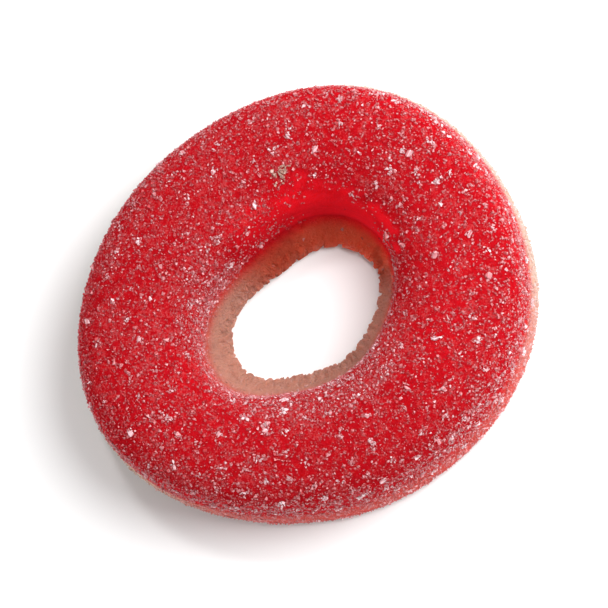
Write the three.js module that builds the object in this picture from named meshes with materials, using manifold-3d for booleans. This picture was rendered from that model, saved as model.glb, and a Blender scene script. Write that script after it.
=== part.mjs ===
// Gummy ring: a ring of red fruit jelly on a base of pale foam, with sugar crystals all over.
// Millimetres, +Z up. The ring lies on its foam side, and the origin is on that face, in the middle.
import * as THREE from 'three';
import { mergeVertices } from 'three/addons/utils/BufferGeometryUtils.js';
import Module from 'manifold-3d';

const { degToRad, lerp, clamp } = THREE.MathUtils;
const wasm = await Module();
wasm.setup();

// Section through the ring: heights and radii
const height = 9.6;
const foamHeight = 3.1; // where the foam ends and the jelly starts, on average
const outerRadius = 17.6; // widest, just above the foot
const holeRadius = 5.6; // narrowest, just above the foot
const waistRadius = 7.2; // hole, where the foam ends
const throatRadius = 7.5; // hole, where the lip starts to open
const crownRadius = 12.4; // the highest line of the top
const footRadius = 1.0; // rounding where the walls meet the flat base
const footBow = [6.5, 1.7]; // radius and height that pull the foam's wall in the hole into a curve
const wallDraft = degToRad(8); // lean of the outer wall
const shoulderHeight = 6.7; // where the outer wall starts to turn over
const shoulderPull = [2.2, 2.6]; // how far the wall and the crown run on into the shoulder's curve
const throatHeight = 5.8; // where the wall of the hole starts to turn over
const lipPull = [2.1, 2.4]; // how far the hole's wall and the crown run on into the lip's curve

// The hole is an oval, set a little off the middle of the rim
const holeStretch = 0.2;
const holeDirection = degToRad(38);
const holeOffset = new THREE.Vector2(-0.15, -0.5);

// How the ring leaves the smooth outline and the level line, each wave as
// [times round, size in millimetres, direction of a crest in degrees]
const outerWaves = [[2, 1, 33], [3, 0.34, -32], [5, 0.12, 70]];
const holeWaves = [[1, 0.14, -20], [2, 0.24, 11], [3, 0.15, -50], [5, 0.1, 20]];
const waistWaves = [[1, 0.45, 145], [2, 0.62, 105], [3, 0.19, -29]];
const foamWavesOutside = [[1, 0.22, 80], [2, 0.56, 21], [3, 0.31, 12], [4, 0.14, 20], [7, 0.06, 0]];
const foamWavesInHole = [[1, 0.5, 215], [3, 0.15, 60], [7, 0.08, 30]];
const crownWaves = [[1, 0.12, 60], [2, 0.14, 150], [3, 0.1, 100], [5, 0.06, 10]];

// Fineness of the faces
const stepsRound = 64;
const stepsOnCurve = 5;
const stepsOnFoot = 3;
const stepsAcross = 4;

// The largest sugar crystals
const seed = 2026;
const drawRange = 2 ** 32;
const drawSpread = 2654435761; // sets the runs of two crystals far apart
const drawFactors = [1664525, 1013904223];
const crystalLength = [0.42, 0.95];
const crystalRarity = 3; // the higher, the fewer long ones
const foamCrystalLength = [0.4, 0.7];
const crystalSlimness = [0.55, 0.9]; // width as a share of length
const crystalLean = degToRad(55); // most that one leans out of the surface
const crystalSpacing = 1.6; // least distance from one to the next
const crystalSteps = [0.7548776662, 0.569840291]; // steps along and round that spread the tries
const triesEach = 40;
const jellyCrystals = 250;
const foamCrystalsOutside = 44;
const foamCrystalsInHole = 14;
const jellyBand = [0.05, 0.95]; // stretch of the skin that holds them, as a share of its section
const foamBandOutside = [0.42, 0.72];
const foamBandInHole = [0.25, 0.55];
const bareDirection = degToRad(68); // the smooth stretch of the lip, where the sugar came off
const bareHalfWidth = degToRad(28);
const bareRadius = 8.8;

// Sum of a list of waves at a direction round the ring.
function wavesAt(list, angle) {
  return list.reduce(
    (sum, [times, size, crest]) => sum + size * Math.cos(times * (angle - degToRad(crest))),
    0,
  );
}

// The seeded run of numbers from 0 to 1 that belongs to one crystal.
function drawsFor(index) {
  let state = (seed + index * drawSpread) % drawRange;
  return () => {
    state = (state * drawFactors[0] + drawFactors[1]) % drawRange;
    return state / drawRange;
  };
}

const outerRadiusAt = (z) => outerRadius - Math.tan(wallDraft) * (z - footRadius);

// The outline of the section, in the plane of radius and height
const footOutside = new THREE.Path()
  .moveTo(outerRadius - footRadius, 0)
  .quadraticCurveTo(outerRadius, 0, outerRadius, footRadius)
  .lineTo(outerRadiusAt(foamHeight), foamHeight);

const top = new THREE.Path()
  .moveTo(outerRadiusAt(foamHeight), foamHeight)
  .lineTo(outerRadiusAt(shoulderHeight), shoulderHeight)
  .bezierCurveTo(
    outerRadiusAt(shoulderHeight + shoulderPull[0]), shoulderHeight + shoulderPull[0],
    crownRadius + shoulderPull[1], height,
    crownRadius, height,
  )
  .bezierCurveTo(
    crownRadius - lipPull[1], height,
    throatRadius, throatHeight + lipPull[0],
    throatRadius, throatHeight,
  )
  .lineTo(waistRadius, foamHeight);

const footInHole = new THREE.Path()
  .moveTo(waistRadius, foamHeight)
  .quadraticCurveTo(...footBow, holeRadius, footRadius)
  .quadraticCurveTo(holeRadius, 0, holeRadius + footRadius, 0);

// A point of the plain ring moves to its place on the real one: x and y with the outline of the
// rim, the oval of the hole and the uneven lean of its wall, and z with the uneven foam line and
// crown. The base stays flat.
function shaped(point) {
  const radius = Math.hypot(point.x, point.y);
  const angle = Math.atan2(point.y, point.x);
  const across = clamp((radius - holeRadius) / (outerRadius - holeRadius), 0, 1);
  const inner = 1 - across;
  const lean = wavesAt(waistWaves, angle) * inner ** 2 * Math.min(point.z / foamHeight, 1);
  const waved = radius + lean + lerp(wavesAt(holeWaves, angle), wavesAt(outerWaves, angle), across);
  const stretch = holeStretch * radius * inner;
  const foamLift = lerp(wavesAt(foamWavesInHole, angle), wavesAt(foamWavesOutside, angle), across);
  const above = (point.z - foamHeight) / (height - foamHeight);
  return new THREE.Vector3(
    waved * Math.cos(angle) + stretch * Math.cos(2 * holeDirection - angle) + holeOffset.x * inner,
    waved * Math.sin(angle) + stretch * Math.sin(2 * holeDirection - angle) + holeOffset.y * inner,
    point.z < foamHeight
      ? point.z * (1 + foamLift / foamHeight)
      : lerp(foamHeight + foamLift, height + wavesAt(crownWaves, angle), above),
  );
}

// Turns a closed profile round the upright axis and shapes the result. A profile that runs down
// its outer side gives faces that point inwards, so its triangles are turned round.
function ringFrom(profile, turnFaces) {
  const geometry = new THREE.LatheGeometry(profile, stepsRound).rotateX(Math.PI / 2);
  geometry.deleteAttribute('normal');
  geometry.deleteAttribute('uv');
  const positions = geometry.getAttribute('position');
  const point = new THREE.Vector3();
  for (let i = 0; i < positions.count; i++) {
    const placed = shaped(point.fromBufferAttribute(positions, i));
    positions.setXYZ(i, placed.x, placed.y, placed.z);
  }
  if (turnFaces) geometry.index.array.reverse();
  return geometry;
}

function solidFrom(geometry) {
  const merged = mergeVertices(geometry);
  return new wasm.Manifold(new wasm.Mesh({
    numProp: 3,
    vertProperties: merged.getAttribute('position').array,
    triVerts: new Uint32Array(merged.index.array),
  }));
}

function geometryFrom(solid) {
  const mesh = solid.getMesh();
  const geometry = new THREE.BufferGeometry();
  geometry.setAttribute('position', new THREE.BufferAttribute(mesh.vertProperties, mesh.numProp));
  geometry.setIndex(new THREE.BufferAttribute(mesh.triVerts, 1));
  geometry.computeVertexNormals();
  return geometry;
}

// A place on the finished skin, with the direction out of it.
function placeOnSkin(path, along, angle) {
  const step = 1e-3;
  const pointAt = (share, direction) => {
    const { x, y } = path.getPointAt(share);
    return shaped(new THREE.Vector3(x * Math.cos(direction), x * Math.sin(direction), y));
  };
  const point = pointAt(along, angle);
  const sideways = pointAt(along, angle + step).sub(point);
  const onwards = pointAt(along + step, angle).sub(point);
  return { point, outwards: sideways.cross(onwards).normalize() };
}

// Whether a place lies on the smooth stretch of the lip, from which the crystals stay away.
function isBare({ x, y, z }) {
  const offset = Math.abs(Math.atan2(y, x) - bareDirection);
  return offset < bareHalfWidth && Math.hypot(x, y) < bareRadius && z > foamHeight;
}

// One crystal: a slim block, half sunk into the skin, turned and leaning at random.
function crystalAt({ point, outwards, draw }, lengths) {
  const length = lerp(...lengths, draw() ** crystalRarity);
  const width = length * lerp(...crystalSlimness, draw());
  const thickness = width * lerp(...crystalSlimness, draw());
  const upright = new THREE.Vector3(0, 0, 1);
  const turn = new THREE.Quaternion().setFromUnitVectors(upright, outwards);
  turn.multiply(new THREE.Quaternion().setFromAxisAngle(upright, 2 * Math.PI * draw()));
  turn.multiply(new THREE.Quaternion().setFromAxisAngle(new THREE.Vector3(0, 1, 0), crystalLean * draw()));
  const geometry = new THREE.BoxGeometry(length, width, thickness);
  geometry.deleteAttribute('normal');
  geometry.deleteAttribute('uv');
  geometry.applyQuaternion(turn).translate(point.x, point.y, point.z);
  return solidFrom(geometry);
}

// Places for crystals on a band of skin. The tries step along and round by two fixed shares that
// spread them evenly, the narrow hole keeps fewer of them, and one too near another is left out.
function crystalPlaces(path, band, count, widest) {
  const places = [];
  for (let i = 1; places.length < count && i < triesEach * count; i++) {
    const draw = drawsFor(i);
    const [along, round] = crystalSteps.map((step) => (i * step) % 1);
    const place = placeOnSkin(path, lerp(...band, along), 2 * Math.PI * round - Math.PI);
    const { point } = place;
    const isThinned = draw() > Math.hypot(point.x, point.y) / widest;
    const isNear = places.some((other) => other.point.distanceTo(point) < crystalSpacing);
    if (!isThinned && !isNear && !isBare(point)) places.push({ ...place, draw });
  }
  return places;
}

function withCrystals(body, places, lengths) {
  return places.reduce((joined, place) => joined.add(crystalAt(place, lengths)), body);
}

function part(name, solid, color, roughness) {
  const material = new THREE.MeshStandardMaterial({ color, roughness, metalness: 0 });
  const mesh = new THREE.Mesh(geometryFrom(solid), material);
  mesh.name = name;
  return mesh;
}

// The face between foam and jelly, from the hole outwards. Both layers hold these same points,
// in this order, so that they meet face to face.
const between = Array.from({ length: stepsAcross + 1 }, (_, i) =>
  new THREE.Vector2(lerp(waistRadius, outerRadiusAt(foamHeight), i / stepsAcross), foamHeight));
const topPoints = top.getPoints(stepsOnCurve);
const outsidePoints = footOutside.getPoints(stepsOnFoot).reverse();
const inHolePoints = footInHole.getPoints(stepsOnFoot).reverse();

const jelly = withCrystals(
  solidFrom(ringFrom([...topPoints.slice(0, -1), ...between], false)),
  crystalPlaces(top, jellyBand, jellyCrystals, outerRadius),
  crystalLength,
);

const foam = withCrystals(
  solidFrom(ringFrom([...between, ...outsidePoints.slice(1), ...inHolePoints], true)),
  [
    ...crystalPlaces(footOutside, foamBandOutside, foamCrystalsOutside, outerRadius),
    ...crystalPlaces(footInHole, foamBandInHole, foamCrystalsInHole, waistRadius),
  ],
  foamCrystalLength,
);

const ring = new THREE.Group();
ring.name = 'gummy_ring';
ring.add(part('red_jelly', jelly, 0xc8202a, 0.45));
ring.add(part('pale_foam', foam, 0xe6cfc0, 0.8));

export default ring;
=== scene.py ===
# %% [markdown]
# # A sugared gummy ring
# The sweet is a soft ring, about three and a half centimetres wide: red fruit jelly cast on a pale
# foam base, then rolled in sugar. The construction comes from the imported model, and this notebook
# gives it its looks. It runs from the top to the bottom, and each step says what is made and why.

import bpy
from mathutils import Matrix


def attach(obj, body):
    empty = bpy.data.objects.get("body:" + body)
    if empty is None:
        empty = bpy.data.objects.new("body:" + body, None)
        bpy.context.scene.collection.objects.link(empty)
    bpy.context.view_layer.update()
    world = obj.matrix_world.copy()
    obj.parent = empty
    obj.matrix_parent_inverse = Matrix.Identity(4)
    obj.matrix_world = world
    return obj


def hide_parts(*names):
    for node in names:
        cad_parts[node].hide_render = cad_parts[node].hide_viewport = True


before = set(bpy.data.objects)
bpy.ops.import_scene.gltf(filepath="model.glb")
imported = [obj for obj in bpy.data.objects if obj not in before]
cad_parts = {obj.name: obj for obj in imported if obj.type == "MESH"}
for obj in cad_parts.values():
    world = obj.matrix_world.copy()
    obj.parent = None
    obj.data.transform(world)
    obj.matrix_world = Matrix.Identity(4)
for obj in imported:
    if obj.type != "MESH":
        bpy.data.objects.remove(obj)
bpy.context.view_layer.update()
print("nodes:", sorted(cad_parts))

# %% [markdown]
# ## Tools and units
# A ring with some fifty thousand grains of sugar needs whole arrays of points moved at once, which
# numpy does; bmesh makes the shapes, and mathutils has the turns and the noise. Blender works in
# metres, but sizes this small are easier to read in millimetres. So the ring's sizes are given so,
# and MM turns them into metres where a mesh is filled. Camera and lights stay in metres.

# %% Tools and units
import math

import bmesh
import bpy
import numpy as np
from mathutils import Matrix, Quaternion, Vector, noise

MM = 0.001
print("one millimetre is", MM, "metres")

# %% [markdown]
# ## Camera
# The ring lies flat, and the camera looks down on it, a little from one side, so that the far wall
# of the hole shows. A Track To constraint could aim it, but would also choose how the picture is
# turned, so the camera's three axes are worked out. TILT is the angle between the line of sight and
# the ring's upright axis, and AXIS_POINTS_TO is where that axis points in the picture, from the
# right and counter-clockwise. A long lens keeps the outline free of perspective.

# %% Camera
LOOK_AT = Vector((-0.1, 0.1, 3.5)) * MM
TILT = math.radians(9)
AXIS_POINTS_TO = math.radians(140)
CAMERA_DISTANCE = 0.45
LENS = 340


def make_camera():
    towards = Vector((
        -math.sin(TILT) * math.cos(AXIS_POINTS_TO),
        -math.sin(TILT) * math.sin(AXIS_POINTS_TO),
        math.cos(TILT),
    ))
    right = Vector((0, 1, 0)).cross(towards).normalized()
    up = towards.cross(right)
    camera = bpy.data.objects.new("camera", bpy.data.cameras.new("camera"))
    bpy.context.scene.collection.objects.link(camera)
    turn = Matrix((right, up, towards)).transposed().to_4x4()
    camera.matrix_world = Matrix.Translation(LOOK_AT + CAMERA_DISTANCE * towards) @ turn
    camera.data.lens = LENS
    bpy.context.scene.camera = camera
    return camera


camera = make_camera()
print("camera at", [round(v, 4) for v in camera.location])

# %% [markdown]
# ## Floor and light
# A pale floor and soft white light, as in a packshot. Soft light shows the form of the ring, and a
# small bright light makes its sugar sparkle. A sun could only do the second, so three round panels
# do both: a large one at the upper right for the even light, a weak one across from it, which fills
# the shadows together with the world, and a small bright one.

# %% Floor
FLOOR_SIZE = 3.0
FLOOR_COLOR = (0.8, 0.8, 0.8)
FLOOR_ROUGHNESS = 0.7


def plain_material(name, color, roughness):
    material = bpy.data.materials.new(name)
    material.use_nodes = True
    shader = material.node_tree.nodes["Principled BSDF"]
    shader.inputs["Base Color"].default_value = (*color, 1)
    shader.inputs["Roughness"].default_value = roughness
    return material


def make_floor():
    shape = bmesh.new()
    bmesh.ops.create_grid(shape, x_segments=1, y_segments=1, size=FLOOR_SIZE / 2)
    mesh = bpy.data.meshes.new("floor")
    shape.to_mesh(mesh)
    shape.free()
    floor = bpy.data.objects.new("floor", mesh)
    bpy.context.scene.collection.objects.link(floor)
    mesh.materials.append(plain_material("floor_white", FLOOR_COLOR, FLOOR_ROUGHNESS))


make_floor()
print("floor is", FLOOR_SIZE, "m wide")

# %% Light
WORLD_STRENGTH = 0.5
PANELS = [
    # name, place in metres, width in metres, watts
    ("soft_panel", (0.11, 0.06, 0.165), 0.17, 0.72),
    ("fill_panel", (-0.2, -0.25, 0.12), 0.3, 0.25),
    ("sparkle_panel", (-0.1, 0.3, 0.55), 0.08, 0.8),
]


def make_light():
    world = bpy.data.worlds.new("studio")
    world.use_nodes = True
    background = world.node_tree.nodes["Background"]
    background.inputs["Strength"].default_value = WORLD_STRENGTH
    background.inputs["Color"].default_value = (1, 1, 1, 1)
    bpy.context.scene.world = world
    for name, place, width, watts in PANELS:
        data = bpy.data.lights.new(name, "AREA")
        data.shape = "DISK"
        data.size = width
        data.energy = watts
        panel = bpy.data.objects.new(name, data)
        bpy.context.scene.collection.objects.link(panel)
        panel.location = place
        panel.rotation_euler = (-Vector(place)).to_track_quat("-Z", "Y").to_euler()


make_light()
bpy.context.scene.view_settings.view_transform = "Standard"
print("lights:", [panel[0] for panel in PANELS])

# %% [markdown]
# ## Section of the ring
# Jelly and foam are cast one on the other, so they share one section: a flat foot, a leaning wall, a
# round shoulder and crown, and a hole that narrows downwards. Before they are bent out of true, both
# are rings of revolution. A squashed torus could stand in for them, but an outline that is spun
# gives every bend its own size. Its straight and curved stretches are Bezier curves: two control
# points make a straight line, three or four a bend. The sizes are the construction's own, in
# millimetres.

# %% Sizes of the section
HEIGHT = 9.6
FOAM_HEIGHT = 3.1
OUTER_RADIUS = 17.6
HOLE_RADIUS = 5.6
WAIST_RADIUS = 7.2
THROAT_RADIUS = 7.5
CROWN_RADIUS = 12.4
FOOT_RADIUS = 1.0
FOOT_BOW = (6.5, 1.7)
WALL_DRAFT = math.radians(8)
SHOULDER_HEIGHT = 6.7
SHOULDER_PULL = (2.2, 2.6)
THROAT_HEIGHT = 5.8
LIP_PULL = (2.1, 2.4)

crown = (CROWN_RADIUS, HEIGHT)
throat = (THROAT_RADIUS, THROAT_HEIGHT)
waist = (WAIST_RADIUS, FOAM_HEIGHT)
print("crown, throat and waist:", crown, throat, waist)

# %% Section of the ring
FOOT_STEPS = 10
FOAM_STEPS = 14
WALL_STEPS = 18
SHOULDER_STEPS = 28
LIP_STEPS = 32
THROAT_STEPS = 14


def wall(z):
    """Radius and height of the leaning outer wall."""
    return (OUTER_RADIUS - math.tan(WALL_DRAFT) * (z - FOOT_RADIUS), z)


def curve(controls, steps):
    """Points along a Bezier curve of two to four control points, without its last point."""
    share = np.linspace(0, 1, steps, endpoint=False)[:, None]
    points = [np.array(control)[None] for control in controls]
    while len(points) > 1:
        points = [a * (1 - share) + b * share for a, b in zip(points, points[1:])]
    return points[0]


foot_bend_outside = [(OUTER_RADIUS - FOOT_RADIUS, 0), (OUTER_RADIUS, 0), (OUTER_RADIUS, FOOT_RADIUS)]
foot_bend_in_hole = [(HOLE_RADIUS, FOOT_RADIUS), (HOLE_RADIUS, 0), (HOLE_RADIUS + FOOT_RADIUS, 0)]
foot_outside = np.vstack([
    curve(foot_bend_outside, FOOT_STEPS),
    curve([wall(FOOT_RADIUS), wall(FOAM_HEIGHT)], FOAM_STEPS),
])
jelly_skin = np.vstack([
    curve([wall(FOAM_HEIGHT), wall(SHOULDER_HEIGHT)], WALL_STEPS),
    curve([
        wall(SHOULDER_HEIGHT), wall(SHOULDER_HEIGHT + SHOULDER_PULL[0]),
        (CROWN_RADIUS + SHOULDER_PULL[1], HEIGHT), crown,
    ], SHOULDER_STEPS),
    curve([
        crown, (CROWN_RADIUS - LIP_PULL[1], HEIGHT),
        (THROAT_RADIUS, THROAT_HEIGHT + LIP_PULL[0]), throat,
    ], LIP_STEPS),
    curve([throat, waist], THROAT_STEPS),
])
foot_in_hole = np.vstack([
    curve([waist, FOOT_BOW, (HOLE_RADIUS, FOOT_RADIUS)], FOAM_STEPS),
    curve(foot_bend_in_hole, FOOT_STEPS),
])
print("section points:", len(foot_outside), len(jelly_skin), len(foot_in_hole))

# %% [markdown]
# ## Out of true
# No such ring is round. The rim has a few slow waves, the hole is an oval a little off the middle
# whose wall leans more on one side, the foam line rises and falls, and the crown isn't level. A
# lattice or a sculpting brush could bend the mesh, but the construction moves every point of the
# plain ring by one rule, and the same rule here keeps the looks on the construction.

# %% Out of true
HOLE_STRETCH = 0.2
HOLE_DIRECTION = math.radians(38)
HOLE_OFFSET = (-0.15, -0.5)
# Waves: times round, size in millimetres, direction of a crest in degrees
OUTER_WAVES = [(2, 1, 33), (3, 0.34, -32), (5, 0.12, 70)]
HOLE_WAVES = [(1, 0.14, -20), (2, 0.24, 11), (3, 0.15, -50), (5, 0.1, 20)]
WAIST_WAVES = [(1, 0.45, 145), (2, 0.62, 105), (3, 0.19, -29)]
FOAM_WAVES_OUTSIDE = [(1, 0.22, 80), (2, 0.56, 21), (3, 0.31, 12), (4, 0.14, 20), (7, 0.06, 0)]
FOAM_WAVES_IN_HOLE = [(1, 0.5, 215), (3, 0.15, 60), (7, 0.08, 30)]
CROWN_WAVES = [(1, 0.12, 60), (2, 0.14, 150), (3, 0.1, 100), (5, 0.06, 10)]


def waves(rows, angle):
    return sum(size * np.cos(times * (angle - math.radians(crest))) for times, size, crest in rows)


def polar(points):
    """Radius, angle and height of an array of points."""
    x, y, z = points.T
    return np.hypot(x, y), np.arctan2(y, x), z


def shaped(points):
    """The places on the real ring of an array of points of the plain one, in millimetres."""
    radius, angle, z = polar(points)
    across = np.clip((radius - HOLE_RADIUS) / (OUTER_RADIUS - HOLE_RADIUS), 0, 1)
    inner = 1 - across
    lean = waves(WAIST_WAVES, angle) * inner ** 2 * np.minimum(z / FOAM_HEIGHT, 1)
    waved = radius + lean + inner * waves(HOLE_WAVES, angle) + across * waves(OUTER_WAVES, angle)
    stretch = HOLE_STRETCH * radius * inner
    foam_lift = inner * waves(FOAM_WAVES_IN_HOLE, angle) + across * waves(FOAM_WAVES_OUTSIDE, angle)
    above = (z - FOAM_HEIGHT) / (HEIGHT - FOAM_HEIGHT)
    crown_height = HEIGHT + waves(CROWN_WAVES, angle)
    return np.stack([
        waved * np.cos(angle) + stretch * np.cos(2 * HOLE_DIRECTION - angle) + HOLE_OFFSET[0] * inner,
        waved * np.sin(angle) + stretch * np.sin(2 * HOLE_DIRECTION - angle) + HOLE_OFFSET[1] * inner,
        np.where(
            z < FOAM_HEIGHT,
            z * (1 + foam_lift / FOAM_HEIGHT),
            (FOAM_HEIGHT + foam_lift) * (1 - above) + crown_height * above,
        ),
    ], axis=1)


once_round = np.linspace(0, 2 * np.pi, 90)
rim = OUTER_RADIUS * np.stack([np.cos(once_round), np.sin(once_round), 0 * once_round], axis=1)
print("rim is", np.round(np.ptp(shaped(rim), axis=0)[:2], 1), "mm wide along x and y")

# %% [markdown]
# ## Where the red runs out
# The red doesn't stop at the foam line. Outside it thins out over one to five millimetres, quickly
# at some places and slowly at others; in the hole it thins out the further in a place lies. There
# and along one side the foam itself is stained, and in the hole its colour is also darkened with
# painted shade, most on the far wall. A painted image could show this, but both facts depend only
# on the place on the plain ring, so they are worked out there and kept as numbers: dye runs from 0
# in foam to 1 in full red, and blush says how the foam is coloured, in thirds:
# stained outside, clean, stained in the hole and darkened with painted shade, and the far wall of
# the hole, stained and darkest with painted shade. Angles are directions round the ring.

# %% Soft borders
def eased(values, low, high):
    """0 below low, 1 above high, and a smooth step between them."""
    t = np.clip((values - low) / (high - low), 0, 1)
    return t * t * (3 - 2 * t)


def fading(values, full, gone):
    """1 below full, 0 above gone, and a smooth step between them."""
    return eased(-values, -gone, -full)


def facing(angle, direction, low, high):
    """1 towards a direction and 0 away from it, by the cosine of the angle between them."""
    return eased(np.cos(angle - direction), low, high)


print("a quarter of the way up a soft border:", eased(0.25, 0, 1))

# %% Where the red runs out
MIDDLE_RADIUS = 12.0
FAR_WALL = math.radians(80)
NEAR_WALL = math.radians(250)
RIGHT_WALL = math.radians(-5)
STAINED_SIDE = math.radians(295)
SLOW_FADE = math.radians(325)
FADE_WIDTH = 1.7
FADE_VARIES = 1.1
FADE_BELOW = 0.85
FADE_ABOVE = 1.1
RED_IN_HOLE = (6.1, 7.9)


def stain(points):
    """Dye, and the foam's stain and painted shade, at points of the plain ring."""
    radius, angle, z = polar(points)
    is_in_hole = radius < MIDDLE_RADIUS
    width = FADE_WIDTH + FADE_VARIES * np.cos(angle - SLOW_FADE)
    above = z - FOAM_HEIGHT
    far_wall = facing(angle, FAR_WALL, 0.15, 0.75)
    right_wall = facing(angle, RIGHT_WALL, 0.7, 0.97)
    near_wall = facing(angle, NEAR_WALL, -0.2, 0.8)
    inwards = radius + 0.08 * above + np.maximum(0.2 * right_wall, 0.1 * far_wall) - 0.25 * near_wall
    dye_in_hole = eased(inwards, *RED_IN_HOLE) * eased(z, 0.0, 0.5)
    dye = np.where(is_in_hole, dye_in_hole, eased(above, -FADE_BELOW * width, FADE_ABOVE * width))
    side = facing(angle, STAINED_SIDE, 0.25, 0.8)
    # In the hole the stain is darkened with painted shade, most on the far wall.
    in_hole = np.maximum(eased(z, -0.4, 1.3), 0.9 * far_wall) * eased(z, 0.0, 0.2)
    blush = np.where(is_in_hole, (1 + far_wall) * in_hole, -side * eased(z, 0.0, 0.6))
    return dye, (1 + blush) / 3


for kind, fade in (("shortest", FADE_WIDTH - FADE_VARIES), ("longest", FADE_WIDTH + FADE_VARIES)):
    print(kind, "fade of the red:", round(fade * (FADE_BELOW + FADE_ABOVE), 1), "mm")

# %% [markdown]
# ## The skin as a strip
# The sugar lies on the whole visible skin. Geometry nodes could scatter it over the faces, but the
# largest crystals have to follow the construction's own rule, which takes the skin as one strip,
# from the foot outside, over the crown, to the foot in the hole. Any place on it is a share along
# the section and an angle round the ring, and all the sugar here is placed in that way.

# %% The skin as a strip
skin = np.vstack([foot_outside, jelly_skin, foot_in_hole, [(HOLE_RADIUS + FOOT_RADIUS, 0)]])
skin_length = np.concatenate([[0], np.cumsum(np.hypot(*np.diff(skin, axis=0).T))])
foam_line_outside = skin_length[len(foot_outside)] / skin_length[-1]
foam_line_in_hole = skin_length[len(foot_outside) + len(jelly_skin)] / skin_length[-1]


def plain_points(share, angle):
    along = share * skin_length[-1]
    radius = np.interp(along, skin_length, skin[:, 0])
    z = np.interp(along, skin_length, skin[:, 1])
    return np.stack([radius * np.cos(angle), radius * np.sin(angle), z], axis=1)


def on_skin(share, angle):
    """Points on the real skin, the directions out of it, and the area that each point stands for."""
    step = 2e-3
    point = shaped(plain_points(share, angle))
    onwards = shaped(plain_points(np.minimum(share + step, 1), angle)) \
        - shaped(plain_points(np.maximum(share - step, 0), angle))
    sideways = shaped(plain_points(share, angle + step)) - shaped(plain_points(share, angle - step))
    out = np.cross(sideways, onwards)
    area = np.linalg.norm(out, axis=1)
    return point, out / area[:, None], area


print("skin is", round(float(skin_length[-1]), 2), "mm long in section")
print("foam lines at shares", round(float(foam_line_outside), 3), round(float(foam_line_in_hole), 3))

# %% [markdown]
# ## Where the sugar lies
# Rolling covers a ring unevenly. The sugar is patchy, thick on the near lip and towards one side,
# thin on the foam in the hole and on a stretch of its outer edge, and gone from one smooth stretch
# of the lip and the wall below it. There light comes out of the clear jelly, and that glow is
# painted into the colour as painted light. Beside it, on the left, the wall has lost some of its
# sugar too. Weights painted on the vertices could hold this; a function holds it too, and answers
# for the grains as well as for the vertices.
# sugar_cover says how much sugar lies at a place, from its point on the plain ring and on the real
# one.

# %% The bare and the near lip
BARE_DIRECTION = math.radians(68)
BARE_HALF_WIDTH = math.radians(28)
BARE_RADIUS = 8.8
BARE_SHIFT = 0.06


def patches(points, size, offset):
    """Slow noise from 0 to 1 over an array of points, with patches of a size in millimetres."""
    shift = Vector((offset, 0, 0))
    values = np.array([noise.noise(Vector(p) / size + shift) for p in points])
    return np.clip(0.5 + values, 0, 1)


def bare_lip(points):
    radius, angle, _ = polar(points)
    ragged = patches(points, 0.9, 4.4) - 0.5
    lip = fading(radius + ragged, BARE_RADIUS - 0.6, BARE_RADIUS + 1.4)
    beside = np.abs(angle - BARE_DIRECTION + BARE_SHIFT) + 0.3 * ragged
    return lip * fading(beside, BARE_HALF_WIDTH - 0.1, BARE_HALF_WIDTH + 0.3)


def near_lip(points):
    radius, angle, _ = polar(points)
    return fading(radius, 8.4, 10.2) * fading(np.cos(angle - BARE_DIRECTION), -0.5, 0.4)


print("bare lip is about", round(2 * BARE_HALF_WIDTH * BARE_RADIUS), "mm long")

# %% Painted glow and cover
CLEAN_EDGE = math.radians(209)
WORN_WALL = math.radians(106)
THICK_SIDE = 2.6
# The side whose face is painted lighter, as painted light falling from there.
GLOWING_SIDE = 0.1


# Painted light: these places are painted brighter, for the glow of light through the bare jelly and for
# light falling on the walls and the face.
def glow(points):
    """How much glow is painted into the colour on the bare lip, the wall below it, the hole's right wall
    and the face beside that.
    """
    radius, angle, z = polar(points)
    on_lip = bare_lip(points) * (0.3 + 0.45 * fading(angle, 0.85, 1.4))
    below_lip = fading(radius, 7.7, 8.8) * eased(z, 2.8, 4.0) * facing(angle, FAR_WALL, 0.4, 0.8)
    right_wall = fading(radius, 7.0, 8.0) * facing(angle, 0.0, 0.7, 0.95)
    right_side = fading(radius, 13.0, 16.0) * facing(angle, GLOWING_SIDE, 0.6, 0.95)
    return on_lip + 0.25 * below_lip + 0.12 * right_wall + 0.08 * right_side


def sugar_cover(plain, points):
    """How thickly sugar lies at places, given on the plain ring and on the real one."""
    radius, angle, z = polar(plain)
    is_hole_foam = (z < FOAM_HEIGHT) & (radius < MIDDLE_RADIUS)
    cover = 0.6 + 0.15 * patches(points, 2.6, 3.1) + 0.4 * patches(points, 0.6, 7.7)
    cover = cover + 0.85 * near_lip(points) + 0.08 * facing(angle, THICK_SIDE, 0.3, 0.9)
    clean_edge = facing(angle, CLEAN_EDGE, 0.86, 0.97) * fading(z, 3.4, 4.8)
    clean_edge = clean_edge * (radius > MIDDLE_RADIUS)
    worn_wall = fading(radius, 7.9, 8.9) * facing(angle, WORN_WALL, 0.76, 0.95)
    cover = cover * (1 - 0.85 * clean_edge) * (1 - 0.6 * worn_wall)
    far_wall = facing(angle, FAR_WALL, 0.3, 0.6)
    on_foam = (0.06 + 0.7 * eased(radius, 6.6, 7.2)) * (1 - far_wall)
    return np.where(is_hole_foam, on_foam, cover * (1 - bare_lip(points)))


plain_rim = plain_points(np.full(90, 0.5), once_round)
print("mean cover on the crown:", round(float(sugar_cover(plain_rim, shaped(plain_rim)).mean()), 2))

# %% [markdown]
# ## The two layers
# The jelly sits on the foam, and where the foam is cut by the hole its edge is crumbly. The solids
# of the construction could be coloured as they are, but they are coarser, and the dye needs vertices
# close together. So the layers are made again: a bmesh takes the outline's points, joins them into
# a loop and spins that loop once round the upright axis; use_merge closes the seam. Then every
# vertex moves to its place on the real ring, and dye, the foam's stain and painted shade, sugar
# cover and the painted glow are kept on the vertices as attributes for the materials.

# %% Crumbs
CRUMB_HEIGHT = 0.75
CRUMB_SIZES = (0.45, 0.26)


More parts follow.
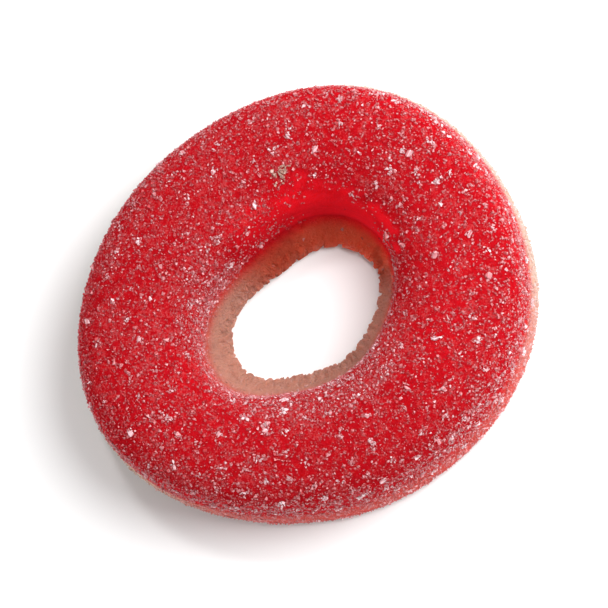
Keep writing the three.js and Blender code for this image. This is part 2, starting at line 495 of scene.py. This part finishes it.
def crumbly(plain, real):
    """The real points, with crumbs on the foam's edge in the hole that stand out towards its middle."""
    radius, _, z = polar(plain)
    edge = fading(radius, 6.0, 6.9) * eased(z, 0.1, 0.5) * fading(z, 1.4, 2.4)
    relief = patches(real, CRUMB_SIZES[0], 5.2) + 0.6 * patches(real, CRUMB_SIZES[1], 9.1)
    crumbs = CRUMB_HEIGHT * edge * np.clip(relief - 0.62, 0, 0.35)
    inwards = -real[:, :2] / np.hypot(real[:, 0], real[:, 1])[:, None]
    return real + np.hstack([inwards * crumbs[:, None], np.zeros((len(real), 1))])


print("crumbs stand out by up to", round(CRUMB_HEIGHT * 0.35, 2), "mm")

# %% The two layers
STEPS_ROUND = 400
STEPS_ACROSS = 16
SHARP_EDGE = math.radians(38)


def read_points(mesh):
    flat = np.empty(len(mesh.vertices) * 3)
    mesh.vertices.foreach_get("co", flat)
    return flat.reshape(-1, 3) / MM


def keep(mesh, domain="POINT", **values):
    """Writes one number for each vertex or face under each name."""
    for name, numbers in values.items():
        mesh.attributes.new(name, "FLOAT", domain).data.foreach_set("value", numbers)


def add_piece(name, mesh):
    piece = bpy.data.objects.new(name, mesh)
    bpy.context.scene.collection.objects.link(piece)
    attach(piece, "root")
    return piece


def ring_layer(name, section, node):
    shape = bmesh.new()
    corners = [shape.verts.new((radius * MM, 0, z * MM)) for radius, z in section]
    edges = [shape.edges.new(pair) for pair in zip(corners, corners[1:] + corners[:1])]
    bmesh.ops.spin(
        shape, geom=corners + edges, cent=(0, 0, 0), axis=(0, 0, 1),
        angle=2 * math.pi, steps=STEPS_ROUND, use_merge=True,
    )
    bmesh.ops.recalc_face_normals(shape, faces=shape.faces)
    mesh = bpy.data.meshes.new(name)
    shape.to_mesh(mesh)
    shape.free()
    plain = read_points(mesh)
    real = crumbly(plain, shaped(plain))
    dye, blush = stain(plain)
    # blush holds the foam's real stains and its painted shade in the hole.
    # glow holds painted light: glow and light painted into the colour.
    keep(mesh, dye=dye, blush=blush, cover=sugar_cover(plain, real), glow=glow(real))
    mesh.vertices.foreach_set("co", (real * MM).ravel())
    mesh.shade_smooth()
    mesh.set_sharp_from_angle(angle=SHARP_EDGE)
    piece = add_piece(name, mesh)
    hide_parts(node)
    print(name, "has", len(mesh.polygons), "faces")
    return piece


jelly_bottom = curve([waist, wall(FOAM_HEIGHT)], STEPS_ACROSS)
foam_top = curve([wall(FOAM_HEIGHT), waist], STEPS_ACROSS)
base_face = curve([(HOLE_RADIUS + FOOT_RADIUS, 0), (OUTER_RADIUS - FOOT_RADIUS, 0)], STEPS_ACROSS)
jelly = ring_layer("jelly_layer", np.vstack([jelly_skin, jelly_bottom]), "red_jelly")
foam = ring_layer("foam_layer", np.vstack([foot_outside, foam_top, foot_in_hole, base_face]), "pale_foam")

# %% [markdown]
# ## Sugar crystals
# A sugar crystal is a slim block. Particles could repeat a few crystals, but joined copies export as
# they are. The larger kinds have bevelled edges, the smaller ones plain edges, and the finest grain
# is a cone of three sides, because tens of thousands of them must stay light. One of each kind is
# modelled at unit size here.

# %% Shapes of crystals
def finished(shape):
    """Corners and faces of a bmesh, which is freed."""
    shape.verts.index_update()
    corners = np.array([vert.co[:] for vert in shape.verts])
    faces = [[vert.index for vert in face.verts] for face in shape.faces]
    shape.free()
    return corners, faces


def block_template(bevel):
    """One crystal, a unit block whose edges are bevelled by a share of its size."""
    shape = bmesh.new()
    bmesh.ops.create_cube(shape, size=1)
    if bevel:
        bmesh.ops.bevel(
            shape, geom=shape.edges, offset=bevel, offset_type="OFFSET", segments=1,
            profile=0.5, affect="EDGES", material=-1,
        )
    return finished(shape)


def sliver_template():
    """The finest grain, a cone of three sides."""
    shape = bmesh.new()
    bmesh.ops.create_cone(shape, cap_ends=True, segments=3, radius1=0.6, radius2=0, depth=1)
    return finished(shape)


TEMPLATES = {
    "large": block_template(0.15),
    "bevelled": block_template(0.12),
    "plain": block_template(0),
    "sliver": sliver_template(),
}
for kind, (corners, faces) in TEMPLATES.items():
    print(kind, "crystal has", len(corners), "corners and", len(faces), "faces")

# %% [markdown]
# ## Copies of a crystal
# No two crystals are alike. Every copy gets its own length, width, turn and lean, sits partly sunk
# in the skin, and is pulled in at its eight outer corners by chance. The pulls spread over the copy,
# so that its facets stay nearly flat while they lean and taper. All copies of a kind are joined into
# one mesh. Real crystals are clear or white, and one facet flashes while the next doesn't. Glass
# would be truest, but it is slow in such numbers. So each facet carries a whiteness, raised or
# lowered at random as a painted glint, and each copy the dye and the blush of the
# ground that it lies on, because a clear crystal takes its colour from there.

# %% Join copies of a crystal
# Range by which each facet's whiteness is scaled at random, as a painted glint.
FLASH = (0.35, 1.5)


def mix(pair, share):
    return pair[0] + (pair[1] - pair[0]) * share


def pulled_in(corners, count, pull, draws):
    """Copies of a template, whose corners are pulled in by up to a share of its size."""
    signs = np.array([(x, y, z) for x in (-1, 1) for y in (-1, 1) for z in (-1, 1)])
    weights = np.prod(0.5 + corners[:, None] * signs[None], axis=2)
    pulls = -signs * pull * draws.random((count, 8, 3))
    return corners[None] + weights @ pulls


def joined_grains(name, template, points, axes, sizes, pull, draws, whiteness, **values):
    corners, faces = template
    local = pulled_in(corners, len(points), pull, draws) * sizes[:, None]
    placed = np.einsum("nkc,ncd->nkd", local, axes) + points[:, None]
    count = len(corners)
    all_faces = [[i * count + c for c in face] for i in range(len(points)) for face in faces]
    mesh = bpy.data.meshes.new(name)
    mesh.from_pydata((placed.reshape(-1, 3) * MM).tolist(), [], all_faces)
    # Painted glint: each facet is whitened or cleared at random.
    flash = mix(FLASH, draws.random((len(points), len(faces))))
    keep(mesh, "FACE", whiteness=np.clip(whiteness[:, None] * flash, 0, 1).ravel())
    keep(mesh, **{key: np.repeat(numbers, count) for key, numbers in values.items()})
    triangles = sum(len(polygon.vertices) - 2 for polygon in mesh.polygons)
    print(name, "has", len(points), "grains and", triangles, "triangles")
    return add_piece(name, mesh)


# %% [markdown]
# ## The largest crystals
# The construction holds the largest crystals, so they have to lie at the very same places here. They
# could be read off its mesh, but it finds them by a rule, and repeating the rule is exact: tries step
# along the section and round the ring by two fixed shares, and each try has a run of numbers of its
# own, which decides whether it stays and how it is turned. Here their edges are bevelled too.

# %% Numbers of the largest crystals
SEED = 2026
CRYSTAL_LENGTH = (0.42, 0.95)
FOAM_CRYSTAL_LENGTH = (0.4, 0.7)
CRYSTAL_SLIMNESS = (0.55, 0.9)
CRYSTAL_LEAN = math.radians(55)
CRYSTAL_SPACING = 1.6
CRYSTAL_STEPS = (0.7548776662, 0.569840291)
TRIES_EACH = 40
JELLY_CRYSTALS = 250
FOAM_CRYSTALS_OUTSIDE = 44
FOAM_CRYSTALS_IN_HOLE = 14
JELLY_BAND = (0.05, 0.95)
FOAM_BAND_OUTSIDE = (0.42, 0.72)
FOAM_BAND_IN_HOLE = (0.25, 0.55)


def draws_for(index):
    """The seeded run of numbers from 0 to 1 that belongs to one crystal."""
    span = 2 ** 32
    state = (SEED + index * 2654435761) % span
    while True:
        state = (state * 1664525 + 1013904223) % span
        yield state / span


print("first number of crystal 1:", round(next(draws_for(1)), 4))

# %% Places and turns of the largest crystals
def is_bare(point):
    offset = abs(math.atan2(point[1], point[0]) - BARE_DIRECTION)
    return offset < BARE_HALF_WIDTH and math.hypot(point[0], point[1]) < BARE_RADIUS \
        and point[2] > FOAM_HEIGHT


def crystal_places(start, end, band, count, widest):
    """Places of the construction's crystals on the skin's stretch from start to end."""
    tries = np.arange(1, TRIES_EACH * count)
    along = mix(band, tries * CRYSTAL_STEPS[0] % 1)
    share = mix((start, end), along)
    angle = 2 * math.pi * (tries * CRYSTAL_STEPS[1] % 1) - math.pi
    points, out, _ = on_skin(share, angle)
    places = []
    for i, point, normal, s, a in zip(tries.tolist(), points, out, share, angle):
        draw = draws_for(i)
        is_thinned = next(draw) > math.hypot(point[0], point[1]) / widest
        is_near = any(np.linalg.norm(point - other[0]) < CRYSTAL_SPACING for other in places)
        if not is_thinned and not is_near and not is_bare(point):
            places.append((point, normal, s, a, draw))
        if len(places) == count:
            break
    return places


def large_crystals(places, lengths):
    """Sizes and axes of the crystals at their places."""
    sizes, axes = [], []
    for _, normal, _, _, draw in places:
        length = mix(lengths, next(draw) ** 3)
        width = length * mix(CRYSTAL_SLIMNESS, next(draw))
        thickness = width * mix(CRYSTAL_SLIMNESS, next(draw))
        turn = Vector((0, 0, 1)).rotation_difference(Vector(normal))
        turn = turn @ Quaternion((0, 0, 1), 2 * math.pi * next(draw))
        turn = turn @ Quaternion((0, 1, 0), CRYSTAL_LEAN * next(draw))
        sizes.append((length, width, thickness))
        axes.append(np.array(turn.to_matrix().transposed()))
    return np.array(sizes), np.array(axes)


# %% Place the largest crystals
LARGE_PULL = 0.5


def whiteness_left(dye, blush):
    """The share of a grain's whiteness that is left; on the foam in the hole it has taken its colour."""
    return 1 - 0.85 * ((1 - dye) * eased(blush, 0.5, 0.65))


stretches = [
    (foam_line_outside, foam_line_in_hole, JELLY_BAND, JELLY_CRYSTALS, OUTER_RADIUS, CRYSTAL_LENGTH),
    (0, foam_line_outside, FOAM_BAND_OUTSIDE, FOAM_CRYSTALS_OUTSIDE, OUTER_RADIUS, FOAM_CRYSTAL_LENGTH),
    (foam_line_in_hole, 1, FOAM_BAND_IN_HOLE, FOAM_CRYSTALS_IN_HOLE, WAIST_RADIUS, FOAM_CRYSTAL_LENGTH),
]
large = []
for start, end, band, count, widest, lengths in stretches:
    places = crystal_places(start, end, band, count, widest)
    sizes, axes = large_crystals(places, lengths)
    for (point, _, share, angle, draw), size, turned in zip(places, sizes, axes):
        large.append((point, turned, size, share, angle, 0.25 + 0.6 * next(draw) ** 1.5))
points, axes, sizes, shares, angles, whiteness = (np.array(column) for column in zip(*large))
dye, blush = stain(plain_points(shares, angles))
whiteness = whiteness * whiteness_left(dye, blush)
draws = np.random.default_rng(SEED)
grains = [joined_grains(
    "large_sugar", TEMPLATES["large"], points, axes, sizes, LARGE_PULL, draws,
    whiteness, dye=dye, blush=blush)]

# %% [markdown]
# ## The rest of the sugar
# Most crystals are far smaller. They fall at random, more of them where the cover is thick, and some
# cling round each of the largest crystals and make a clump with it. Few grains are white, and most
# are nearly clear; those on the near lip and the right rim are whiter, and those on the foam in the
# hole have taken its colour. A bump in the material could hint at such grains, but it leaves the
# outline smooth, and a sugared edge is rough, so they are mesh. The random numbers are seeded, so
# every run gives the same sugar.

# %% Random places on the skin
SKIN_END = 0.02


def scattered(count, power, draws):
    """Shares and angles of random places; power sharpens the sugar's patches."""
    found = []
    while sum(len(f) for f in found) < count:
        tries = 4 * count
        share = draws.random(tries) * (1 - 2 * SKIN_END) + SKIN_END
        angle = 2 * np.pi * draws.random(tries)
        point, _, area = on_skin(share, angle)
        chance = area / area.max() * sugar_cover(plain_points(share, angle), point) ** power
        kept = draws.random(tries) < chance
        found.append(np.stack([share[kept], angle[kept]], axis=1))
    return np.vstack(found)[:count].T


def in_clumps(share, angle, each, spread, draws):
    """Each place becomes a handful of places within its spread in millimetres."""
    spread = np.repeat(np.broadcast_to(spread, len(share)), each)
    share = np.repeat(share, each)
    angle = np.repeat(angle, each)
    radius = np.hypot(*plain_points(share, angle)[:, :2].T)
    share = share + spread / skin_length[-1] * draws.normal(size=len(share))
    angle = angle + spread / radius * draws.normal(size=len(angle))
    return np.clip(share, SKIN_END, 1 - SKIN_END), angle


print("grains keep", round(SKIN_END * float(skin_length[-1]), 2), "mm away from the base face")

# %% Grains at places
RIGHT_RIM = -0.4
SMALL_PULL = 0.45


def turned_axes(out, draws, lean):
    """Axes for each grain: its length, its width and the direction that it rises in."""
    helper = np.where(np.abs(out[:, 2:]) < 0.9, [[0, 0, 1.0]], [[1.0, 0, 0]])
    first = np.cross(helper, out)
    first /= np.linalg.norm(first, axis=1)[:, None]
    second = np.cross(out, first)
    turn = 2 * np.pi * draws.random(len(out))[:, None]
    length = first * np.cos(turn) + second * np.sin(turn)
    width = np.cross(out, length)
    tip = (lean * (2 * draws.random(len(out)) - 1))[:, None]
    rise = out * np.cos(tip) + length * np.sin(tip)
    length = length * np.cos(tip) - out * np.sin(tip)
    return np.stack([length, width, rise], axis=1)


def whitened(points):
    """How white grains are beside the usual: more on the near lip and right rim, less on the left."""
    radius, angle, _ = polar(points)
    rim = eased(radius, 14.8, 16.5) * np.cos(angle - RIGHT_RIM)
    return 1 + 1.5 * near_lip(points) + 0.8 * rim


def sugar_grains(name, kind, places, length, slimness, sunk, lean, whiteness, power):
    """Grains at places; lean is in degrees, and power keeps whiteness near its lower end."""
    share, angle = places
    points, out, _ = on_skin(share, angle)
    count = len(points)
    long = mix(length, draws.random(count) ** 2)
    wide = long * mix(slimness, draws.random(count))
    thick = wide * mix(slimness, draws.random(count))
    points = points + out * (thick * (0.5 - sunk))[:, None]
    clear = points[:, 2] > 0.85 * long
    axes = turned_axes(out, draws, math.radians(lean))
    sizes = np.stack([long, wide, thick], axis=1)
    dye, blush = stain(plain_points(share, angle))
    white = mix(whiteness, draws.random(count) ** power)
    white = white * whitened(points) * whiteness_left(dye, blush)
    return joined_grains(
        name, TEMPLATES[kind], points[clear], axes[clear], sizes[clear], SMALL_PULL, draws,
        white[clear], dye=dye[clear], blush=blush[clear],
    )


# %% [markdown]
# ## Clumps that stand out
# Here and there a handful of grains has stuck together and stands out white, and one clump near the
# lip is tan. Chance wouldn't put them where they are, so they are given as places in the picture,
# from its middle, and as widths, both in millimetres. Each goes to the spot of the skin that the
# camera sees there: of many places on the skin that face it, the nearest one.

# %% Clumps that stand out
STANDING_OUT = np.array([
    (-10.7, -8.8, 0.6), (-3.6, -11.9, 0.5), (4.3, -15.0, 0.5), (5.2, -10.7, 0.5), (-1.9, -15.4, 0.9),
    (-1.3, 13.0, 0.7), (6.7, 10.4, 0.8), (8.6, 10.1, 0.9), (7.6, 11.8, 0.4), (10.2, 9.5, 0.5),
    (5.6, 16.3, 0.9), (10.3, 14.6, 0.9), (9.9, 12.5, 0.9), (-6.8, 5.0, 0.8), (-11.5, 11.2, 0.8),
    (2.9, 15.9, 0.8), (13.4, -2.7, 0.8), (-4.4, -8.7, 1.0), (-1.6, -8.4, 1.0), (-3.0, -9.4, 0.7),
    (17.5, -3.9, 0.6), (15.9, -7.7, 0.7), (12.9, -11.4, 0.7), (10.6, -13.6, 0.5), (18.1, 0.1, 0.5),
    (-15.2, -11.7, 0.5), (-12.5, -14.8, 0.6), (-18.0, -5.4, 0.6),
])
TAN_CLUMP = np.array([(-1.8, 10.1)])


def seen_at(wanted):
    """Shares and angles of the places on the skin that the camera sees at places in the picture."""
    share, angle = (grid.ravel() for grid in np.meshgrid(
        np.linspace(foam_line_outside, foam_line_in_hole, 300), np.linspace(-np.pi, np.pi, 720)))
    points, out, _ = on_skin(share, angle)
    right, up, towards = np.array(camera.matrix_world.to_3x3().transposed())
    faces_camera = out @ towards > 0.15
    offset = points[faces_camera] - np.array(LOOK_AT) / MM
    across, upwards = offset @ right, offset @ up
    nearest = [np.argmin(np.hypot(across - x, upwards - y)) for x, y in wanted]
    return share[faces_camera][nearest], angle[faces_camera][nearest]


standing_out_places = seen_at(STANDING_OUT[:, :2])
tan_place = seen_at(TAN_CLUMP)
print("clumps that stand out:", len(standing_out_places[0]) + len(tan_place[0]))

# %% Scatter the sugar
CLUMP_GRAINS = 7
STANDING_OUT_GRAINS = 16
outside_hole = shares < foam_line_in_hole
clump_white = np.repeat(whiteness[outside_hole], CLUMP_GRAINS)
grains += [
    sugar_grains(
        "coarse_sugar", "bevelled", scattered(2600, 1.2, draws),
        length=(0.28, 0.46), slimness=(0.55, 0.95), sunk=0.4, lean=50, whiteness=(0.05, 0.34), power=2),
    sugar_grains(
        "clumped_sugar", "plain",
        in_clumps(shares[outside_hole], angles[outside_hole], CLUMP_GRAINS, 0.24, draws),
        length=(0.18, 0.38), slimness=(0.5, 0.95), sunk=0.3, lean=80,
        whiteness=(0.4 * clump_white, clump_white), power=1),
    sugar_grains(
        "standing_out_sugar", "bevelled",
        in_clumps(*standing_out_places, STANDING_OUT_GRAINS, 0.26 * STANDING_OUT[:, 2], draws),
        length=(0.22, 0.44), slimness=(0.5, 0.95), sunk=0.25, lean=80, whiteness=(0.25, 0.75), power=1),
    sugar_grains(
        "medium_sugar", "plain", scattered(13000, 1.0, draws),
        length=(0.2, 0.33), slimness=(0.55, 0.95), sunk=0.4, lean=60, whiteness=(0.02, 0.2), power=1.8),
    sugar_grains(
        "fine_sugar", "plain", scattered(14000, 1.0, draws),
        length=(0.14, 0.22), slimness=(0.55, 0.95), sunk=0.4, lean=60, whiteness=(0.02, 0.2), power=1.8),
    sugar_grains(
        "dust_sugar", "sliver", scattered(18000, 1.0, draws),
        length=(0.07, 0.13), slimness=(0.6, 0.95), sunk=0.3, lean=80, whiteness=(0.03, 0.4), power=2.5),
]

# %% [markdown]
# The tan clump is tan all through and not white. A material of its own could colour it, but the
# ground's colours hold the very tan: between clean foam and the foam in the hole, which is stained
# and darkened with painted shade. So it carries no dye, and a blush value between
# those two.

# %% The tan clump
TAN_GRAINS = 36
TAN_BLUSH = 0.6

tan_clump = sugar_grains(
    "tan_clump", "bevelled", in_clumps(*tan_place, TAN_GRAINS, 0.38, draws),
    length=(0.3, 0.5), slimness=(0.5, 0.95), sunk=0.25, lean=80, whiteness=(0, 0.08), power=1)
corner_count = len(tan_clump.data.vertices)
tan_clump.data.attributes["dye"].data.foreach_set("value", np.zeros(corner_count))
tan_clump.data.attributes["blush"].data.foreach_set("value", np.full(corner_count, TAN_BLUSH))
grains.append(tan_clump)
print("pieces of sugar:", [piece.name for piece in grains])

# %% [markdown]
# ## Colours of the ground
# Jelly, foam and the clear sugar on them all show the same run of colours, from deep red down to
# the foam's, with a lighter red painted in as glow where the red thins out, except on the far wall.
# Each material could mix them for itself, but then they would drift apart. So it is one node group,
# placed in each material: dye picks a place on the run, a fine noise keeps its edge from being a
# clean line, and blush picks the colour of the foam, with its real stains and its
# painted shade.

# %% Node helpers
def color_value(color):
    return (*color, 1)


def connect(tree, socket, value):
    """Sets a socket to a value, or links another node's socket to it."""
    if isinstance(value, bpy.types.NodeSocket):
        tree.links.new(value, socket)
    else:
        socket.default_value = value


def put(tree, kind, **inputs):
    """A new node with its inputs set or linked, an underscore standing for a space."""
    node = tree.nodes.new(kind)
    for name, value in inputs.items():
        connect(tree, node.inputs[name.replace("_", " ")], value)
    return node


def blend_colors(tree, share, first, second):
    """A mix of two colours, each a socket or three numbers."""
    node = tree.nodes.new("ShaderNodeMix")
    node.data_type = "RGBA"
    connect(tree, node.inputs[0], share)
    for index, color in ((6, first), (7, second)):
        is_socket = isinstance(color, bpy.types.NodeSocket)
        connect(tree, node.inputs[index], color if is_socket else color_value(color))
    return node.outputs[2]


def attribute(tree, name):
    node = tree.nodes.new("ShaderNodeAttribute")
    node.attribute_name = name
    return node.outputs["Fac"]


def math_node(tree, operation, *values):
    node = tree.nodes.new("ShaderNodeMath")
    node.operation = operation
    for socket, value in zip(node.inputs, values):
        connect(tree, socket, value)
    return node.outputs[0]


def stepped(tree, value, low, high):
    """A smooth step from 0 at low to 1 at high."""
    node = put(tree, "ShaderNodeMapRange", Value=value, From_Min=low, From_Max=high)
    node.interpolation_type = "SMOOTHSTEP"
    return node.outputs["Result"]


# %% Node groups
def new_group(name, inputs, outputs):
    group = bpy.data.node_groups.new(name, "ShaderNodeTree")
    for socket, kind in inputs:
        group.interface.new_socket(socket, in_out="INPUT", socket_type=kind)
    for socket, kind in outputs:
        group.interface.new_socket(socket, in_out="OUTPUT", socket_type=kind)
    return group, group.nodes.new("NodeGroupInput"), group.nodes.new("NodeGroupOutput")


def use_group(tree, group, **inputs):
    node = tree.nodes.new("ShaderNodeGroup")
    node.node_tree = group
    for name, value in inputs.items():
        tree.links.new(value, node.inputs[name])
    return node


# %% Ground colours
RED = (0.36, 0.004, 0.008)
# A lighter red painted where the red thins out, as painted glow of light through thin jelly.
BRIGHT_RED = (0.44, 0.015, 0.016)
# Stained outside; clean; stained in the hole and darkened with painted shade; far wall of the hole,
# stained and darker still with painted shade
FOAM_COLORS = [(0.56, 0.07, 0.06), (0.48, 0.3, 0.225), (0.335, 0.158, 0.118), (0.305, 0.046, 0.023)]
# Scales of noise, in patches to a metre
EDGE_SCALE = 1500.0


def ground_colors_group():
    group, given, result = new_group(
        "ground_colors",
        [("Dye", "NodeSocketFloat"), ("Blush", "NodeSocketFloat")],
        [("Color", "NodeSocketColor")],
    )
    place = group.nodes.new("ShaderNodeTexCoord").outputs["Object"]
    ragged = put(group, "ShaderNodeTexNoise", Vector=place, Scale=EDGE_SCALE, Detail=3.0)
    shift = math_node(group, "MULTIPLY_ADD", ragged.outputs["Fac"], 0.5, -0.25)
    is_between = math_node(group, "PINGPONG", given.outputs["Dye"], 0.5)
    dye = math_node(group, "MULTIPLY_ADD", shift, is_between, given.outputs["Dye"])
    # The foam's colours: real stains, and painted shade in the hole, darkest on its far wall.
    foam_color = put(group, "ShaderNodeValToRGB", Fac=given.outputs["Blush"])
    stops = foam_color.color_ramp.elements
    stops[1].position = 1 / 3
    for third in (2, 3):
        stops.new(third / 3)
    for stop, color in zip(stops, FOAM_COLORS):
        stop.color = color_value(color)
    # The far wall, painted in shade, keeps the plain red and gets no painted glow.
    is_far_wall = stepped(group, given.outputs["Blush"], 0.7, 0.95)
    deep = math_node(group, "MAXIMUM", stepped(group, dye, 0.5, 1.0), is_far_wall)
    red = blend_colors(group, deep, BRIGHT_RED, RED)
    color = blend_colors(group, stepped(group, dye, 0.0, 0.8), foam_color.outputs["Color"], red)
    group.links.new(color, result.inputs["Color"])
    return group


ground_colors = ground_colors_group()
print(ground_colors.name, "has", len(ground_colors.nodes), "nodes")

# %% [markdown]
# ## Powder between the crystals
# The finest sugar is too small to model. It is a powder that whitens the ground in specks and makes
# it rougher, so it belongs in the material. Two scales of noise make the specks, and the cover says
# how many there are. The ground's own colour is mottled by the same noise, and made brighter where
# glow is painted into it as painted light. Jelly and foam both use it, so it is a group too.

# %% Powder group
SPECK_SCALE = 6500.0
CLOUD_SCALE = 1800.0
POWDER_WHITE = (0.86, 0.62, 0.64)
POWDER_SHARE = 0.05
# How much the painted glow brightens the ground, as painted light.
GLOW_STRENGTH = 1.5


def powder_group():
    group, given, result = new_group(
        "powder",
        [("Color", "NodeSocketColor"), ("Cover", "NodeSocketFloat"), ("Glow", "NodeSocketFloat")],
        [("Color", "NodeSocketColor"), ("Roughness", "NodeSocketFloat"), ("Height", "NodeSocketFloat")],
    )
    place = group.nodes.new("ShaderNodeTexCoord").outputs["Object"]
    specks = put(group, "ShaderNodeTexNoise", Vector=place, Scale=SPECK_SCALE, Detail=2.0)
    clouds = put(group, "ShaderNodeTexNoise", Vector=place, Scale=CLOUD_SCALE, Detail=4.0)
    level = math_node(group, "MULTIPLY_ADD", clouds.outputs["Fac"], 0.3, specks.outputs["Fac"])
    thin = math_node(group, "MINIMUM", given.outputs["Cover"], 1.0)
    level = math_node(group, "MULTIPLY", level, thin)
    mask = stepped(group, level, 0.55, 0.8)
    share = math_node(group, "MULTIPLY", mask, POWDER_SHARE)
    relief = math_node(group, "ADD", clouds.outputs["Fac"], specks.outputs["Fac"])
    mottled = math_node(group, "MULTIPLY_ADD", relief, 0.5, 0.5)
    # Painted light: the ground is made brighter where glow is painted in.
    brightness = math_node(group, "MULTIPLY_ADD", given.outputs["Glow"], GLOW_STRENGTH, mottled)
    bright = put(group, "ShaderNodeHueSaturation", Color=given.outputs["Color"], Value=brightness)
    color = blend_colors(group, share, bright.outputs["Color"], POWDER_WHITE)
    group.links.new(color, result.inputs["Color"])
    roughness = math_node(group, "MULTIPLY_ADD", mask, 0.35, 0.38)
    group.links.new(roughness, result.inputs["Roughness"])
    group.links.new(relief, result.inputs["Height"])
    return group


powder = powder_group()
print(powder.name, "has", len(powder.nodes), "nodes")

# %% [markdown]
# ## Materials
# Jelly lets light wander under its skin, red light furthest, and foam and sugar do so over a
# shorter way. Real glassy jelly would bend the light that passes through it, but a thick sweet under
# sugar only glows, which subsurface scattering shows at far less cost, together with the glow that
# is painted into the colour. REACH gives how far red, green and blue light go, as shares of the
# scale. Jelly and foam carry the powder, and neither is glossy. Sugar is, and its colour is the
# ground's, whitened.

# %% Materials of jelly and foam
JELLY_REACH = (1.0, 0.22, 0.18)
FOAM_REACH = (1.0, 0.5, 0.35)


def new_material(name):
    material = bpy.data.materials.new(name)
    material.use_nodes = True
    tree = material.node_tree
    ground = use_group(
        tree, ground_colors, Dye=attribute(tree, "dye"), Blush=attribute(tree, "blush"))
    return material, tree, tree.nodes["Principled BSDF"], ground.outputs["Color"]


def ground_material(name, reach, scale, depth):
    """Jelly or foam; scale is that of the scattering and depth that of the relief, in metres."""
    material, tree, shader, ground_color = new_material(name)
    dusted = use_group(
        tree, powder, Color=ground_color, Cover=attribute(tree, "cover"), Glow=attribute(tree, "glow"))
    relief = put(tree, "ShaderNodeBump", Height=dusted.outputs["Height"], Distance=depth)
    tree.links.new(dusted.outputs["Color"], shader.inputs["Base Color"])
    tree.links.new(dusted.outputs["Roughness"], shader.inputs["Roughness"])
    tree.links.new(relief.outputs["Normal"], shader.inputs["Normal"])
    shader.inputs["Specular IOR Level"].default_value = 0.0
    shader.inputs["Subsurface Weight"].default_value = 1.0
    shader.inputs["Subsurface Radius"].default_value = reach
    shader.inputs["Subsurface Scale"].default_value = scale
    return material


jelly.data.materials.append(ground_material("red_jelly", JELLY_REACH, 0.0006, 0.00003))
foam.data.materials.append(ground_material("pale_foam", FOAM_REACH, 0.00015, 0.00014))
print("materials:", jelly.data.materials[0].name, foam.data.materials[0].name)

# %% Material of the sugar
SUGAR_WHITE = (0.87, 0.6, 0.64)
SUGAR_ROUGHNESS = 0.25
SUGAR_IOR = 1.54
SUGAR_SCATTERING = 0.7
SUGAR_REACH = (1.0, 0.8, 0.8)
SUGAR_SCALE = 0.0003


def sugar_material():
    material, tree, shader, ground_color = new_material("sugar")
    color = blend_colors(tree, attribute(tree, "whiteness"), ground_color, SUGAR_WHITE)
    tree.links.new(color, shader.inputs["Base Color"])
    shader.inputs["Roughness"].default_value = SUGAR_ROUGHNESS
    shader.inputs["IOR"].default_value = SUGAR_IOR
    shader.inputs["Subsurface Weight"].default_value = SUGAR_SCATTERING
    shader.inputs["Subsurface Radius"].default_value = SUGAR_REACH
    shader.inputs["Subsurface Scale"].default_value = SUGAR_SCALE
    return material


sugar = sugar_material()
for piece in grains:
    piece.data.materials.append(sugar)
print("the material", sugar.name, "is on", len(grains), "pieces")
